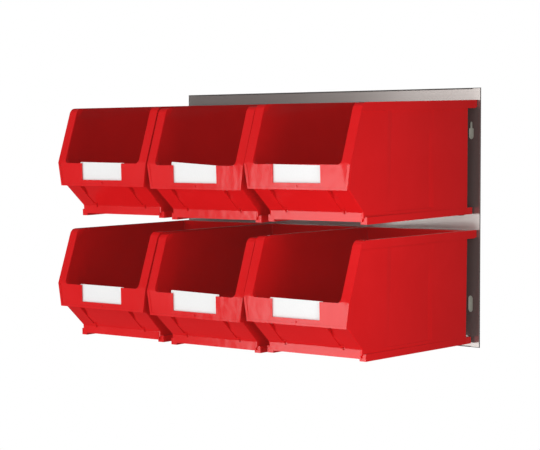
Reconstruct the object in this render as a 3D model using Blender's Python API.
"""Hanging parts bin set: a louvred steel wall panel that carries six moulded
plastic bins in two rows of three, each with a paper label card in its lip.

Frame: metres, +Z up, +X to the viewer's right, the bins open towards -Y.
The wall is the plane y = 0, and the origin is the centre of the panel's upper
wall-contact strip. Lengths below are in millimetres and scaled once by MILLI.
"""
import math

import bmesh
import bpy
from mathutils import Vector

MILLI = 0.001
EMBED = 1.0                # overlap that makes two joined pieces fuse, or a cut break out

# --------------------------------------------------------------------- layout
BIN_PITCH = 210.5
RIM_HEIGHTS = (396.6, 188.95)    # each row's rim at the hook, above the panel's bottom edge
HOOK_GAP = 1.0             # hook to the panel's face
# droop of each hung bin, nose down, degrees: one entry per row, left to right
HANG_TILT = ((1.95, 2.35, 1.80), (1.21, 1.71, 1.12))

# ---------------------------------------------------------------- panel sizes
PANEL_W = 641.0
PANEL_H = 416.0
PANEL_D = 13.0             # wall to the front face of the sheet
SHEET_T = 1.5
RETURN_H = 14.0            # height of the folded strips that touch the wall
RETURN_END = 14.0          # the folds stop this short of the side edges
PANEL_TOP = RETURN_H / 2.0
PANEL_BOTTOM = PANEL_TOP - PANEL_H
FACE_Y = -PANEL_D          # front face of the sheet
REAR_Y = FACE_Y + SHEET_T  # rear face of the sheet

LOUVRE_ROWS_APART = 5      # louvre rows from one row of bins to the next
LOUVRE_ROWS = 9
LOUVRE_COLS = 6
LOUVRE_STEP = BIN_PITCH / 2.0    # along a row
LOUVRE_BELOW_RIM = 3.3     # free edge of a louvre below the rim of the bin it carries
LOUVRE_W = 52.0
LOUVRE_H = 16.0
LOUVRE_PROUD = 8.5
LOUVRE_RAMP = 7.0          # height of the sloped lower part of each louvre
LOUVRE_ROOT = 0.6          # how far a louvre's shell runs into the sheet
LOUVRE_SLIT = 1.2          # opening above each louvre's free edge
LOUVRE_CUT = 0.8           # sheared gap at each open end
HOLLOW_FOOT = 2.2          # hollow's bottom edge above the shell's
HOLLOW_RAMP_RISE = 0.9     # hollow's ramp end above the shell's

KEY_X = 302.6              # fixing holes, from the centre line; heights from the bottom edge
KEY_SLOT_W, KEY_SLOT_TOP = 4.6, 362.0
KEY_NECK, KEY_NECK_HALF = 351.0, 1.2    # middle and half height of the change in width
KEY_SHOULDER_R = 1.6
KEY_WIDE_W, KEY_WIDE_BOTTOM = 9.8, 333.9
LOW_SLOT_W, LOW_SLOT_TOP, LOW_SLOT_BOTTOM = 9.2, 83.1, 56.7
HOLE_CLEAR = 3.0           # hole cutters reach past both faces of the sheet

# ------------------------------------------------------------------ bin sizes
# In a bin's own frame the origin is at the hook, on the rim's top. Profiles
# are lists of (forward, depth): forward runs to -Y and depth runs to -Z.
BIN_W = 205.6              # over the rim and over the top of the lip
BIN_L = 328.0              # hook to the face of the lip
BIN_H = 182.0              # rim to runners
WALL = 2.6
BEYOND = 400.0             # forward of everything on the bin
ABOVE = 20.0               # cutters reach this far above the rim

WALL_HALF_TOP = 101.0      # half width over the side walls at the rim
WALL_HALF_BACK = 97.2      # the same at the floor's rear
WALL_HALF_FRONT = 92.2     # and at the floor's front
FLOOR_DEPTH = 173.0        # underside of the floor
BACK_TOP, BACK_BOTTOM = 20.0, 20.6   # rear face of the back wall, forward
NOSE_TOP = 295.0           # top front corner of a side wall, forward
NOSE_BEND_HIGH, NOSE_BEND_LOW = 9.0, 14.0    # depths of the corner's two bends
NOSE_R = 11.0              # size of the front frame's top corner
BAND_FORWARD = 283.2       # lower front band
BAND_TOP, BAND_BOTTOM = 164.4, 178.1
BAND_HALF = 89.4
BAND_FOOT = 6.0            # front to rear of the part below the floor
SHELF_FORWARD, SHELF_DEPTH = 318.0, 130.2    # top of the sloped front, tucked under the lip

LIP_TOP, LIP_BOTTOM = 91.0, 128.85
LIP_HALF_TOP, LIP_HALF_BOTTOM = BIN_W / 2.0, 97.3
LIP_BACK = 321.6
FLANGE_HALF = 86.5         # inner edge of the flanges beside the opening
# lower corner of the opening: distance in from the flange edge, depth
OPENING_CORNER = ((0.0, LIP_TOP - 14.0), (1.6, LIP_TOP - 5.0), (6.5, LIP_TOP + 0.4))
OPENING_ABOVE = 30.0       # the opening's cutter: its reach above the rim,
OPENING_AHEAD = 20.0       # forward of the lip's face
OPENING_BEHIND = 60.0      # and behind the nose

SLOT_HALF, SLOT_BOTTOM = 53.6, 126.4     # label pocket, inside the lip
SLOT_BACK, SLOT_FRONT = 324.2, 325.7
WINDOW_HALF, WINDOW_BOTTOM = 46.8, 118.8
PIP_DEPTH, PIP_R, PIP_OUT = 124.0, 1.7, 0.8
PIP_EMBED = 0.8

RIM_H = 13.0
RIM_FRONT = NOSE_TOP - 1.5
RIM_EDGE_T = 4.0           # thickness of the rim's side bands
RIM_BACK_LAP = 1.3         # the rim's deck ends this far forward of BACK_TOP
RIM_CUT_BOTTOM = 40.0
HOOK_T, HOOK_DROP = WALL, 11.6

RUNNER_OUT, RUNNER_IN = WALL_HALF_BACK, 85.0
RUNNER_FRONT, RUNNER_BACK = 281.0, 7.5
RUNNER_EMBED = 1.8

CHANNEL_X, CHANNEL_W, CHANNEL_FORWARD = 57.2, 8.0, 299.0
# side wall grooves: forward, width, cut depth, bottom end below the rim
GROOVES = ((224.0, 7.0, 1.1, 166.0), (114.0, 2.0, 0.7, 158.0))
GROOVE_START = RIM_H + 2.0
GROOVE_CLEAR = 6.0         # groove cutters reach past the wall's widest part

# ---------------------------------------------------------------- label cards
CARD_W, CARD_H, CARD_T = 104.0, 33.8, 0.7
CARD_CHAMFER = 1.0
# how each card sits, one row of bins per line: depth of its top right corner
# below the rim, and its lean in degrees, left end up
CARD_SEAT = (
    ((90.3, 0.6), (91.3, 3.1), (92.3, 0.7)),
    ((90.4, 0.3), (88.1, 1.0), (90.5, 0.6)),
)


# -------------------------------------------------------------------- helpers
def clear_scene():
    for obj in list(bpy.data.objects):
        bpy.data.objects.remove(obj, do_unlink=True)


def material(name, colour, roughness, metallic):
    mat = bpy.data.materials.new(name)
    mat.use_nodes = True
    shader = mat.node_tree.nodes["Principled BSDF"]
    shader.inputs["Base Color"].default_value = (*colour, 1.0)
    shader.inputs["Roughness"].default_value = roughness
    shader.inputs["Metallic"].default_value = metallic
    mat.diffuse_color = (*colour, 1.0)
    return mat


def link(name, mesh):
    obj = bpy.data.objects.new(name, mesh)
    bpy.context.scene.collection.objects.link(obj)
    return obj


def to_object(name, work):
    """Write a bmesh to a new object and free it."""
    mesh = bpy.data.meshes.new(name)
    work.to_mesh(mesh)
    work.free()
    return link(name, mesh)


def face_outward(work):
    bmesh.ops.remove_doubles(work, verts=work.verts, dist=1e-7)
    bmesh.ops.triangulate(work, faces=[face for face in work.faces if len(face.verts) > 4])
    bmesh.ops.recalc_face_normals(work, faces=work.faces)
    if work.calc_volume(signed=True) < 0.0:
        bmesh.ops.reverse_faces(work, faces=work.faces)


def solid(name, end_outlines, crease=None):
    """A closed solid between two matching outlines of (x, y, z) in mm. crease
    names the two corners between which each end face is bent."""
    work = bmesh.new()
    rings = [
        [work.verts.new((x * MILLI, y * MILLI, z * MILLI)) for x, y, z in outline]
        for outline in end_outlines
    ]
    for ring in rings:
        if crease is None:
            work.faces.new(ring)
        else:
            start, end = crease
            work.faces.new(ring[start:end + 1])
            work.faces.new(ring[end:] + ring[:start + 1])
    low, high = rings
    for i in range(len(low)):
        j = (i + 1) % len(low)
        work.faces.new((low[i], low[j], high[j], high[i]))
    face_outward(work)
    return to_object(name, work)


def prism_along_x(name, outline, x_low, x_high):
    """outline is a list of (y, z)."""
    return solid(name, [[(x, y, z) for y, z in outline] for x in (x_low, x_high)])


def prism_along_y(name, outline, y_low, y_high):
    """outline is a list of (x, z)."""
    return solid(name, [[(x, y, z) for x, z in outline] for y in (y_low, y_high)])


def box(name, low, high):
    outline = [(low[1], low[2]), (high[1], low[2]), (high[1], high[2]), (low[1], high[2])]
    return prism_along_x(name, outline, low[0], high[0])


def join(name, objects):
    """One object holding separate closed pieces, for use as a Boolean operand."""
    work = bmesh.new()
    for obj in objects:
        work.from_mesh(obj.data)
        bpy.data.objects.remove(obj, do_unlink=True)
    return to_object(name, work)


def boolean(target, operation, operand):
    """Apply a Boolean to target and remove the operand."""
    modifier = target.modifiers.new("bool", "BOOLEAN")
    modifier.operation = operation
    modifier.solver = "EXACT"
    modifier.object = operand
    bpy.context.view_layer.update()
    depsgraph = bpy.context.evaluated_depsgraph_get()
    result = bpy.data.meshes.new_from_object(target.evaluated_get(depsgraph))
    target.modifiers.clear()
    target.data = result
    bpy.data.objects.remove(operand, do_unlink=True)


def add(target, piece):
    boolean(target, "UNION", piece)


def cut(target, cutter):
    boolean(target, "DIFFERENCE", cutter)


def finish_mesh(obj, mesh_name, mat):
    """Name the object's mesh and make mat its only material."""
    mesh = obj.data
    mesh.name = mesh_name
    mesh.materials.clear()
    mesh.materials.append(mat)
    return mesh


def shared_mesh(master, mesh_name, mat):
    """Finish a master's mesh for use by several objects, and remove the master."""
    mesh = finish_mesh(master, mesh_name, mat)
    bpy.data.objects.remove(master, do_unlink=True)
    return mesh


def arc(centre_x, centre_z, radius, start, end, steps):
    """Points on an arc, angles in degrees."""
    angles = [math.radians(start + (end - start) * i / steps) for i in range(steps + 1)]
    return [
        (centre_x + radius * math.cos(angle), centre_z + radius * math.sin(angle))
        for angle in angles
    ]


# ---------------------------------------------------------------------- panel
def panel_z(height):
    """Z of a height above the panel's bottom edge."""
    return height + PANEL_BOTTOM


def build_sheet():
    """The flat sheet, with its top and bottom edges folded back to the wall."""
    half = PANEL_W / 2.0
    sheet = box("louvre_panel", (-half, FACE_Y, PANEL_BOTTOM), (half, REAR_Y, PANEL_TOP))
    reach = half - RETURN_END
    for edge, inward in ((PANEL_TOP, -1.0), (PANEL_BOTTOM, 1.0)):
        for name, height, front_y in (("fold", SHEET_T, REAR_Y - EMBED),
                                      ("strip", RETURN_H, -SHEET_T)):
            low, high = sorted((edge, edge + inward * height))
            add(sheet, box(name, (-reach, front_y, low), (reach, 0.0, high)))
    return sheet


def louvre_edges():
    """Z of the louvres' free edges, top row first. Both rows of bins hook over
    one, just under the hook's deck."""
    top = RIM_HEIGHTS[0] - LOUVRE_BELOW_RIM
    pitch = (RIM_HEIGHTS[0] - RIM_HEIGHTS[1]) / LOUVRE_ROWS_APART
    return [panel_z(top - pitch * row) for row in range(LOUVRE_ROWS)]


def louvre_shell(x, z):
    proud_y = FACE_Y - LOUVRE_PROUD
    root_y = FACE_Y + LOUVRE_ROOT
    bottom = z - LOUVRE_H
    half = LOUVRE_W / 2
    return prism_along_x("shell", [
        (root_y, bottom), (FACE_Y, bottom), (proud_y, bottom + LOUVRE_RAMP),
        (proud_y, z), (root_y, z),
    ], x - half, x + half)


def louvre_hollow(x, z):
    skin_y = FACE_Y - LOUVRE_PROUD + SHEET_T
    behind_y = REAR_Y + EMBED
    bottom = z - LOUVRE_H
    half = LOUVRE_W / 2 + LOUVRE_CUT
    return prism_along_x("hollow", [
        (behind_y, bottom + HOLLOW_FOOT), (FACE_Y, bottom + HOLLOW_FOOT),
        (skin_y, bottom + LOUVRE_RAMP + HOLLOW_RAMP_RISE),
        (skin_y, z + LOUVRE_SLIT), (behind_y, z + LOUVRE_SLIT),
    ], x - half, x + half)


def keyhole_outline(x):
    """A narrow slot that opens downwards into a wider round-ended hole."""
    wide, narrow = KEY_WIDE_W / 2.0, KEY_SLOT_W / 2.0
    neck_top = panel_z(KEY_NECK + KEY_NECK_HALF)
    neck_bottom = panel_z(KEY_NECK - KEY_NECK_HALF)
    shoulder = wide - KEY_SHOULDER_R
    return [
        *arc(x, panel_z(KEY_SLOT_TOP - narrow), narrow, 0, 180, steps=6),
        (x - narrow, neck_top),
        *arc(x - shoulder, neck_bottom, KEY_SHOULDER_R, 90, 180, steps=3),
        *arc(x, panel_z(KEY_WIDE_BOTTOM + wide), wide, 180, 360, steps=10),
        *arc(x + shoulder, neck_bottom, KEY_SHOULDER_R, 0, 90, steps=3),
        (x + narrow, neck_top),
    ]


def low_slot_outline(x):
    radius = LOW_SLOT_W / 2.0
    return [
        *arc(x, panel_z(LOW_SLOT_TOP - radius), radius, 0, 180, steps=8),
        *arc(x, panel_z(LOW_SLOT_BOTTOM + radius), radius, 180, 360, steps=8),
    ]


def build_panel(steel):
    panel = build_sheet()

    first_x = -LOUVRE_STEP * (LOUVRE_COLS - 1) / 2.0
    places = [(first_x + LOUVRE_STEP * col, z) for z in louvre_edges() for col in range(LOUVRE_COLS)]
    add(panel, join("shells", [louvre_shell(x, z) for x, z in places]))
    cut(panel, join("hollows", [louvre_hollow(x, z) for x, z in places]))

    holes = [
        prism_along_y("hole", outline(x), FACE_Y - HOLE_CLEAR, REAR_Y + HOLE_CLEAR)
        for x in (-KEY_X, KEY_X)
        for outline in (keyhole_outline, low_slot_outline)
    ]
    cut(panel, join("holes", holes))
    finish_mesh(panel, "louvre_panel", steel)


# ---------------------------------------------------------------- bin helpers
def bin_prism(name, profile, low, high, crease=None):
    """A prism across the bin. low and high give the x of its two ends, as
    numbers or as functions of (forward, depth)."""
    return solid(name, [
        [(end(forward, depth) if callable(end) else end, -forward, -depth)
         for forward, depth in profile]
        for end in (low, high)
    ], crease)


def bin_box(name, across, forward, depth):
    """A box from its (low, high) span in x, forward and depth."""
    return box(name, (across[0], -forward[1], -depth[1]), (across[1], -forward[0], -depth[0]))


def crease_depth(forward):
    """Each side wall is two flats that meet on a crease, which runs from the
    rim's rear end to the floor's front."""
    return FLOOR_DEPTH * (forward - BACK_TOP) / (BAND_FORWARD - BACK_TOP)


def crease_forward(depth):
    return BACK_TOP + (BAND_FORWARD - BACK_TOP) * depth / FLOOR_DEPTH


def wall_half(forward, depth):
    """Half width over the side walls: constant along the rim, and narrower at
    the floor's front than at its rear."""
    above = WALL_HALF_TOP - (WALL_HALF_TOP - WALL_HALF_FRONT) * depth / FLOOR_DEPTH
    share = (depth - crease_depth(forward)) / (FLOOR_DEPTH - crease_depth(BACK_BOTTOM))
    return above + (WALL_HALF_BACK - WALL_HALF_FRONT) * max(share, 0.0)


def wall_side(sign, inset):
    return lambda forward, depth: sign * (wall_half(forward, depth) - inset)


def lip_side(sign):
    """The lip is wider at its top than at its bottom."""
    def half(forward, depth):
        share = (depth - LIP_TOP) / (LIP_BOTTOM - LIP_TOP)
        return sign * (LIP_HALF_TOP - (LIP_HALF_TOP - LIP_HALF_BOTTOM) * share)
    return half


NOSE_SLOPE = (BIN_L - NOSE_TOP) / LIP_TOP
NOSE_WALL = WALL * math.sqrt(1.0 + NOSE_SLOPE * NOSE_SLOPE)   # sloped wall, measured forward


def nose_line(depth):
    """The front edge of a side wall, from its top corner down to the lip."""
    return NOSE_TOP + (BIN_L - NOSE_TOP) * depth / LIP_TOP


# ----------------------------------------------------------------- bin pieces
def build_block(name):
    """The solid block inside the walls' outer faces."""
    return bin_prism(name, [
        (BACK_TOP, 0.0), (BACK_BOTTOM, FLOOR_DEPTH),
        (BAND_FORWARD, FLOOR_DEPTH), (BAND_FORWARD, BAND_TOP),
        (SHELF_FORWARD, SHELF_DEPTH),
        (LIP_BACK + EMBED, SHELF_DEPTH - 2.4), (LIP_BACK + EMBED, LIP_TOP + 6.0),
        # just behind the nose line, then back over the top corner
        (nose_line(LIP_TOP) - 1.2, LIP_TOP),
        (nose_line(NOSE_BEND_LOW) - 1.2, NOSE_BEND_LOW),
        (nose_line(NOSE_BEND_HIGH) - 5.0, NOSE_BEND_HIGH),
        (NOSE_TOP - 14.0, 0.0),
    ], wall_side(-1.0, 0.0), wall_side(1.0, 0.0), crease=(0, 2))


def build_cavity():
    """The inside of the bin, as a cutter."""
    back = BACK_TOP + WALL
    floor = FLOOR_DEPTH - WALL
    lip_back = LIP_BACK - WALL + 0.6
    nose_foot = LIP_TOP - 18.0
    top_front = NOSE_TOP - 16.5
    cavity = bin_prism("cavity", [
        (back, -ABOVE), (back, crease_depth(back)), (BACK_BOTTOM + WALL, floor),
        (crease_forward(floor), floor),
        (BAND_FORWARD - WALL, floor), (BAND_FORWARD - WALL, BAND_TOP - WALL * 0.4),
        (SHELF_FORWARD - WALL * 0.6, SHELF_DEPTH - WALL * 0.9 + 0.4),
        (lip_back, SHELF_DEPTH - WALL - 3.0), (lip_back, LIP_TOP),
        (nose_line(nose_foot) - NOSE_WALL, nose_foot),
        (nose_line(NOSE_BEND_LOW) - NOSE_WALL, NOSE_BEND_LOW),
        (nose_line(NOSE_BEND_HIGH) - NOSE_WALL - 3.0, NOSE_BEND_HIGH),
        (top_front, 0.0), (top_front, -ABOVE),
    ], wall_side(-1.0, WALL), wall_side(1.0, WALL), crease=(1, 3))
    # the walls of the tool channels under the label pocket stand into the inside
    half = CHANNEL_W / 2 + WALL
    for x in (-CHANNEL_X, CHANNEL_X):
        cut(cavity, bin_box("boss", across=(x - half, x + half),
                            forward=(CHANNEL_FORWARD - WALL, BEYOND),
                            depth=(SHELF_DEPTH - 1.5, FLOOR_DEPTH + 10.0)))
    return cavity


def build_front_frame():
    """The sloped front frame above the lip, as wide as the rim less a hair."""
    half = BIN_W / 2.0 - 0.1
    foot = LIP_TOP - 4.0
    return bin_prism("front", [
        # over the top corner, front to rear
        (nose_line(NOSE_R * 0.55), NOSE_R * 0.55),
        (NOSE_TOP - 2.6, 1.9), (NOSE_TOP - NOSE_R * 0.8, 0.0), (NOSE_TOP - 15.5, 0.0),
        # down the rear
        (nose_line(NOSE_BEND_HIGH) - NOSE_WALL - 9.0, NOSE_BEND_HIGH),
        (nose_line(NOSE_BEND_LOW) - NOSE_WALL, NOSE_BEND_LOW),
        (nose_line(foot) - NOSE_WALL, foot),
        # along the bottom, inside the lip, and back up to the nose line
        (LIP_BACK + 0.6, LIP_TOP + 1.2), (BIN_L - 0.6, LIP_TOP + 1.2),
        (nose_line(LIP_TOP - 1.0), LIP_TOP - 1.0),
    ], -half, half)


def opening_cutter():
    left = [(-FLANGE_HALF, OPENING_ABOVE)]
    left += [(-FLANGE_HALF + inset, -depth) for inset, depth in OPENING_CORNER]
    right = [(-x, z) for x, z in reversed(left)]
    return prism_along_y("opening", left + right,
                         -(BIN_L + OPENING_AHEAD), -(NOSE_TOP - OPENING_BEHIND))


def add_lip(shell):
    """The lip's plate, its label pocket and window, and the pip on its face."""
    add(shell, bin_prism("lip", [
        (LIP_BACK, LIP_TOP), (LIP_BACK, LIP_BOTTOM), (BIN_L, LIP_BOTTOM), (BIN_L, LIP_TOP),
    ], lip_side(-1.0), lip_side(1.0)))
    cut(shell, bin_box("slot", across=(-SLOT_HALF, SLOT_HALF), forward=(SLOT_BACK, SLOT_FRONT),
                       depth=(LIP_TOP - 4.0, SLOT_BOTTOM)))
    cut(shell, bin_box("window", across=(-WINDOW_HALF, WINDOW_HALF),
                       forward=(SLOT_BACK + 0.4, BIN_L + 2.0),
                       depth=(LIP_TOP - 3.0, WINDOW_BOTTOM)))
    octagon = arc(0.0, -PIP_DEPTH, PIP_R, 0, 315, steps=7)
    add(shell, prism_along_y("pip", octagon, -(BIN_L + PIP_OUT), -(BIN_L - PIP_EMBED)))


def build_rim():
    """A band down both sides and over the back, where it turns down as the hook."""
    half = BIN_W / 2.0
    rim = bin_prism("rim", [
        (0.0, 0.0), (0.0, HOOK_DROP), (HOOK_T + 1.0, HOOK_DROP), (HOOK_T + 1.6, RIM_H),
        (RIM_FRONT, RIM_H), (RIM_FRONT, 4.4), (NOSE_TOP - 4.6, 1.6), (NOSE_TOP - 9.6, 0.0),
    ], -half, half)
    across = (-(half - RIM_EDGE_T), half - RIM_EDGE_T)
    cut(rim, bin_box("under", across, forward=(HOOK_T, BEYOND), depth=(WALL, RIM_CUT_BOTTOM)))
    cut(rim, bin_box("over", across, forward=(BACK_TOP + RIM_BACK_LAP, BEYOND),
                     depth=(-ABOVE, RIM_CUT_BOTTOM)))
    return rim


def build_skirt():
    """The lower front band, which stands down past the floor."""
    front = BAND_FORWARD + 0.4
    rear = BAND_FORWARD - BAND_FOOT
    upper_rear = BAND_FORWARD - 1.3
    top = BAND_TOP + 0.4
    floor = FLOOR_DEPTH - 1.3
    return bin_prism("skirt", [
        (front, top), (front, BAND_BOTTOM), (rear, BAND_BOTTOM),
        (rear, floor), (upper_rear, floor), (upper_rear, top),
    ], -BAND_HALF, BAND_HALF)


def build_runner(sign):
    return bin_box("runner", across=sorted((sign * RUNNER_IN, sign * RUNNER_OUT)),
                   forward=(RUNNER_BACK, RUNNER_FRONT),
                   depth=(FLOOR_DEPTH - RUNNER_EMBED, BIN_H))


def channel_cutter(sign):
    """A tool channel, open to the front and to the underside of the slope."""
    x = sign * CHANNEL_X
    top = SHELF_DEPTH + 1.0
    bottom = BAND_TOP + 2.5
    return bin_prism("channel", [
        (CHANNEL_FORWARD, top), (CHANNEL_FORWARD, 150.0), (BAND_FORWARD - 1.2, bottom),
        (BAND_FORWARD + 12.0, bottom), (SHELF_FORWARD + 10.0, top),
    ], x - CHANNEL_W / 2, x + CHANNEL_W / 2)


def groove_cutter(sign, forward, width, cut_depth, bottom):
    """A vertical groove on the outside of a side wall."""
    rear, front = forward - width / 2, forward + width / 2
    return bin_prism("groove", [
        (rear, GROOVE_START), (rear, crease_depth(rear)), (rear, bottom),
        (front, bottom), (front, crease_depth(front)), (front, GROOVE_START),
    ], wall_side(sign, cut_depth), sign * (WALL_HALF_TOP + GROOVE_CLEAR), crease=(1, 4))


def build_bin():
    shell = build_block("bin_master")
    cut(shell, build_cavity())
    front = build_front_frame()
    for target in (front, shell):
        cut(target, opening_cutter())
    add(shell, front)
    add_lip(shell)
    add(shell, build_rim())
    add(shell, build_skirt())
    for sign in (-1.0, 1.0):
        add(shell, build_runner(sign))
    for sign in (-1.0, 1.0):
        cut(shell, channel_cutter(sign))
    for sign in (-1.0, 1.0):
        for groove in GROOVES:
            cut(shell, groove_cutter(sign, *groove))
    return shell


# ----------------------------------------------------------------------- card
def build_card():
    """A card centred on its origin, with its top corners clipped."""
    half, tall = CARD_W / 2.0, CARD_H / 2.0
    return prism_along_y("card_master", [
        (-half, -tall), (half, -tall),
        (half, tall - CARD_CHAMFER), (half - CARD_CHAMFER, tall),
        (-half + CARD_CHAMFER, tall), (-half, tall - CARD_CHAMFER),
    ], -CARD_T / 2, CARD_T / 2)


def card_centre(corner, lean):
    """Depth of a card's centre below the rim, from its top right corner's."""
    return corner + CARD_H / 2.0 * math.cos(lean) - CARD_W / 2.0 * math.sin(lean)


# ------------------------------------------------------------------- assembly
def hang_bin(name, mesh, row, col):
    shell = link(name, mesh)
    rim_z = panel_z(RIM_HEIGHTS[row])
    shell.location = Vector(((col - 1) * BIN_PITCH, FACE_Y - HOOK_GAP, rim_z)) * MILLI
    shell.rotation_euler = (math.radians(HANG_TILT[row][col]), 0.0, 0.0)
    return shell


def seat_card(name, mesh, shell, corner, lean):
    card = link(name, mesh)
    card.parent = shell
    slot_middle = (SLOT_BACK + SLOT_FRONT) / 2.0
    card.location = Vector((0.0, -slot_middle, -card_centre(corner, lean))) * MILLI
    card.rotation_euler = (0.0, lean, 0.0)


def main():
    clear_scene()
    steel = material("panel_steel", colour=(0.42, 0.40, 0.39), roughness=0.34, metallic=0.85)
    red = material("bin_red", colour=(0.62, 0.012, 0.015), roughness=0.36, metallic=0.0)
    paper = material("label_paper", colour=(0.90, 0.90, 0.88), roughness=0.75, metallic=0.0)

    build_panel(steel)
    bin_mesh = shared_mesh(build_bin(), "bin_shell", red)
    card_mesh = shared_mesh(build_card(), "card_sheet", paper)

    for row, row_name in enumerate(("top", "bottom")):
        for col, col_name in enumerate(("left", "middle", "right")):
            place = f"{row_name}_{col_name}"
            shell = hang_bin(f"bin_{place}", bin_mesh, row, col)
            corner, lean = CARD_SEAT[row][col]
            seat_card(f"label_card_{place}", card_mesh, shell, corner, math.radians(lean))
    bpy.context.view_layer.update()


main()
